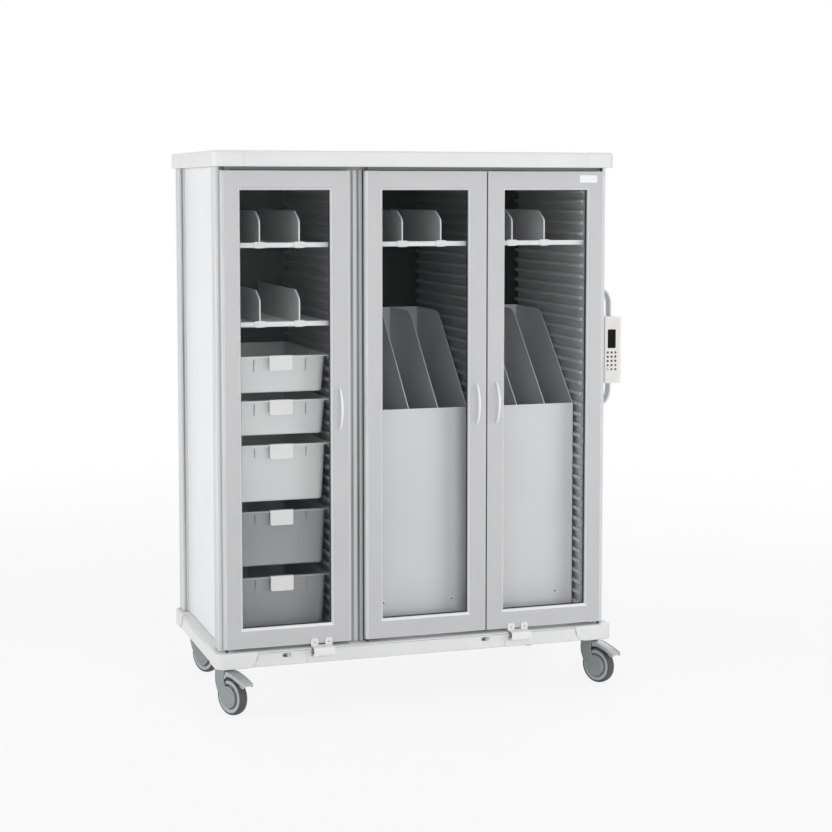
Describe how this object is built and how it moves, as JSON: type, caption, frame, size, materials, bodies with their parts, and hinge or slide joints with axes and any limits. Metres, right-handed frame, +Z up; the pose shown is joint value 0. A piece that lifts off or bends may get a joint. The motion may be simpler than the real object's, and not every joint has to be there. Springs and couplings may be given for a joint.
{
  "type": "supply cart",
  "caption": "Closed mobile supply cart with glazed hinged doors, ribbed inner walls that carry sliding trays, shelves and tall bins, push handle and keypad, on swivel casters.",
  "frame": {"origin": "on the floor under the centre of the whole cart's bounding box", "axes": "+X to the right seen from the front, +Y to the back, +Z up; the doors face -Y"},
  "size_m": [1.4454, 0.75, 1.852],
  "materials": {
    "white_moulding": "satin white moulded plastic",
    "aluminium_post": "natural anodised extrusion",
    "panel_paint": "satin white sheet",
    "ribbed_plastic": "satin light grey moulded liner",
    "door_paint": "satin light grey lacquer on an aluminium frame",
    "clear_pane": "clear acrylic sheet",
    "handle_plastic": "satin grey plastic",
    "steel": "bright plated steel",
    "caster_plastic": "cool grey nylon",
    "tyre_grey": "non-marking dark grey rubber on a grey hub",
    "keypad_plastic": "satin white moulded housing",
    "membrane": "warm grey membrane with a black screen",
    "tray_plastic": "satin white moulded plastic",
    "basket_plastic": "clear smoky moulded plastic",
    "bin_plastic": "translucent white sheet"
  },
  "bodies": {
    "cabinet": {"base_chassis": "white_moulding", "base_corner_front_left": "white_moulding", "base_corner_front_right": "white_moulding", "base_corner_rear_left": "white_moulding", "base_corner_rear_right": "white_moulding", "top_cover": "white_moulding", "post_front_left": "aluminium_post", "post_front_right": "aluminium_post", "post_rear_left": "aluminium_post", "post_rear_right": "aluminium_post", "post_mid": "aluminium_post", "side_panel_left": "panel_paint", "side_panel_right": "panel_paint", "back_panel": "panel_paint", "liner_left": "ribbed_plastic", "liner_right": "ribbed_plastic", "partition_left": "ribbed_plastic", "partition_middle": "ribbed_plastic", "shelf_left_top": "tray_plastic", "shelf_left_second": "tray_plastic", "shelf_middle": "tray_plastic", "shelf_right": "tray_plastic", "bin_middle": "bin_plastic", "bin_right": "bin_plastic", "push_handle": "handle_plastic", "keypad_housing": "keypad_plastic", "keypad_fascia": "membrane"},
    "door_left": {"door_frame_left": "door_paint", "door_pane_left": "clear_pane", "door_handle_left": "handle_plastic", "door_rod_left": "steel", "hasp_left": "white_moulding"},
    "door_middle": {"door_frame_middle": "door_paint", "door_pane_middle": "clear_pane", "door_handle_middle": "handle_plastic", "door_rod_middle": "steel"},
    "door_right": {"door_frame_right": "door_paint", "door_pane_right": "clear_pane", "door_handle_right": "handle_plastic", "door_rod_right": "steel", "hasp_right": "white_moulding"},
    "key_left": {"lock_cylinder_left": "steel"},
    "bolt_left": {"lock_bolt_left": "steel"},
    "key_right": {"lock_cylinder_right": "steel"},
    "bolt_right": {"lock_bolt_right": "steel"},
    "swivel_front_left": {"caster_fork_front_left": "caster_plastic"},
    "wheel_front_left": {"caster_wheel_front_left": "tyre_grey"},
    "pedal_front_left": {"caster_pedal_front_left": "caster_plastic"},
    "swivel_front_right": {"caster_fork_front_right": "caster_plastic"},
    "wheel_front_right": {"caster_wheel_front_right": "tyre_grey"},
    "pedal_front_right": {"caster_pedal_front_right": "caster_plastic"},
    "swivel_rear_left": {"caster_fork_rear_left": "caster_plastic"},
    "wheel_rear_left": {"caster_wheel_rear_left": "tyre_grey"},
    "swivel_rear_right": {"caster_fork_rear_right": "caster_plastic"},
    "wheel_rear_right": {"caster_wheel_rear_right": "tyre_grey"},
    "tray_upper": {"tray_upper": "tray_plastic"},
    "tray_middle": {"tray_middle": "tray_plastic"},
    "tray_lower": {"tray_lower": "tray_plastic"},
    "basket_upper": {"basket_upper": "basket_plastic"},
    "basket_lower": {"basket_lower": "basket_plastic"}
  },
  "joints": [
    {"name": "door_left_hinge", "type": "hinge", "parent": "cabinet", "child": "door_left", "pos_m": [-0.6817, -0.319, 1], "axis": [0, 0, -1], "range_deg": [0, 180]},
    {"name": "door_middle_hinge", "type": "hinge", "parent": "cabinet", "child": "door_middle", "pos_m": [-0.2032, -0.319, 1], "axis": [0, 0, -1], "range_deg": [0, 135]},
    {"name": "door_right_hinge", "type": "hinge", "parent": "cabinet", "child": "door_right", "pos_m": [0.6317, -0.319, 1], "axis": [0, 0, 1], "range_deg": [0, 180]},
    {"name": "key_left_turn", "type": "hinge", "parent": "cabinet", "child": "key_left", "pos_m": [-0.4797, -0.346, 0.207], "axis": [0, 1, 0], "range_deg": [0, 90]},
    {"name": "bolt_left_throw", "type": "slide", "parent": "cabinet", "child": "bolt_left", "axis": [1, 0, 0], "range_m": [0, 0.01401]},
    {"name": "key_right_turn", "type": "hinge", "parent": "cabinet", "child": "key_right", "pos_m": [0.2133, -0.346, 0.207], "axis": [0, 1, 0], "range_deg": [0, 90]},
    {"name": "bolt_right_throw", "type": "slide", "parent": "cabinet", "child": "bolt_right", "axis": [1, 0, 0], "range_m": [0, 0.01401]},
    {"name": "caster_front_left_swivel", "type": "hinge", "parent": "cabinet", "child": "swivel_front_left", "pos_m": [-0.6707, -0.23, 0.16], "axis": [0, 0, 1], "continuous": true},
    {"name": "caster_front_left_roll", "type": "hinge", "parent": "swivel_front_left", "child": "wheel_front_left", "pos_m": [-0.65254, -0.26564, 0.0625], "axis": [0.891, 0.454, 0], "continuous": true},
    {"name": "pedal_front_left_press", "type": "hinge", "parent": "swivel_front_left", "child": "pedal_front_left", "pos_m": [-0.66253, -0.24604, 0.143], "axis": [0.891, 0.454, 0], "range_deg": [0, 6]},
    {"name": "caster_front_right_swivel", "type": "hinge", "parent": "cabinet", "child": "swivel_front_right", "pos_m": [0.6413, -0.23, 0.16], "axis": [0, 0, 1], "continuous": true},
    {"name": "caster_front_right_roll", "type": "hinge", "parent": "swivel_front_right", "child": "wheel_front_right", "pos_m": [0.65946, -0.26564, 0.0625], "axis": [0.891, 0.454, 0], "continuous": true},
    {"name": "pedal_front_right_press", "type": "hinge", "parent": "swivel_front_right", "child": "pedal_front_right", "pos_m": [0.64947, -0.24604, 0.143], "axis": [0.891, 0.454, 0], "range_deg": [0, 6]},
    {"name": "caster_rear_left_swivel", "type": "hinge", "parent": "cabinet", "child": "swivel_rear_left", "pos_m": [-0.6427, 0.335, 0.16], "axis": [0, 0, 1], "continuous": true},
    {"name": "caster_rear_left_roll", "type": "hinge", "parent": "swivel_rear_left", "child": "wheel_rear_left", "pos_m": [-0.62454, 0.29936, 0.0625], "axis": [0.891, 0.454, 0], "continuous": true},
    {"name": "caster_rear_right_swivel", "type": "hinge", "parent": "cabinet", "child": "swivel_rear_right", "pos_m": [0.5927, 0.335, 0.16], "axis": [0, 0, 1], "continuous": true},
    {"name": "caster_rear_right_roll", "type": "hinge", "parent": "swivel_rear_right", "child": "wheel_rear_right", "pos_m": [0.61086, 0.29936, 0.0625], "axis": [0.891, 0.454, 0], "continuous": true},
    {"name": "tray_upper_slide", "type": "slide", "parent": "cabinet", "child": "tray_upper", "axis": [0, -1, 0], "range_m": [0, 0.046]},
    {"name": "tray_middle_slide", "type": "slide", "parent": "cabinet", "child": "tray_middle", "axis": [0, -1, 0], "range_m": [0, 0.046]},
    {"name": "tray_lower_slide", "type": "slide", "parent": "cabinet", "child": "tray_lower", "axis": [0, -1, 0], "range_m": [0, 0.046]},
    {"name": "basket_upper_slide", "type": "slide", "parent": "cabinet", "child": "basket_upper", "axis": [0, -1, 0], "range_m": [0, 0.046]},
    {"name": "basket_lower_slide", "type": "slide", "parent": "cabinet", "child": "basket_lower", "axis": [0, -1, 0], "range_m": [0, 0.046]}
  ],
  "couplings": [
    {"joint": "bolt_left_throw", "follows": "key_left_turn", "m_per_rad": 0.008913},
    {"joint": "bolt_right_throw", "follows": "key_right_turn", "m_per_rad": 0.008913}
  ]
}
